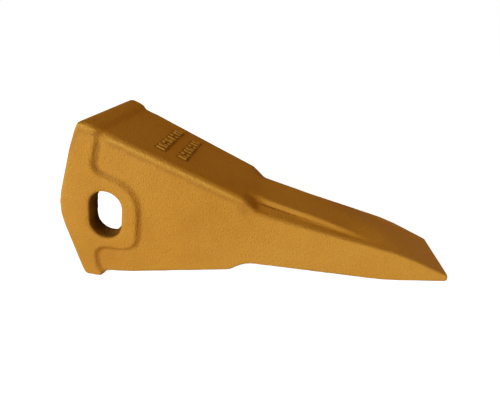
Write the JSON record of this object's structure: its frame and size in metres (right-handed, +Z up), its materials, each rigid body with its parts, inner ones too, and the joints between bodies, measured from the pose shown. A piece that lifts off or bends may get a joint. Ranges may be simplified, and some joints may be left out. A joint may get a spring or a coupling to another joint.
{
  "type": "ripper shank tooth",
  "caption": "Cast ripper tooth for an earth-moving shank: a chisel blade with a central rib, a raised rear collar with a pin slot, and an open socket for the shank nose.",
  "frame": {"origin": "on the ground, under the middle of the length and of the width", "axes": "+X towards the digging edge, +Y across the width, +Z up, as the tooth lies on its collar and its tip"},
  "size_m": [0.3414, 0.1092, 0.1447],
  "materials": {
    "cast_paint": "ochre yellow paint, semi-matt, over a sand-cast skin"
  },
  "bodies": {
    "root": {"ripper_tooth": "cast_paint"}
  },
  "joints": []
}
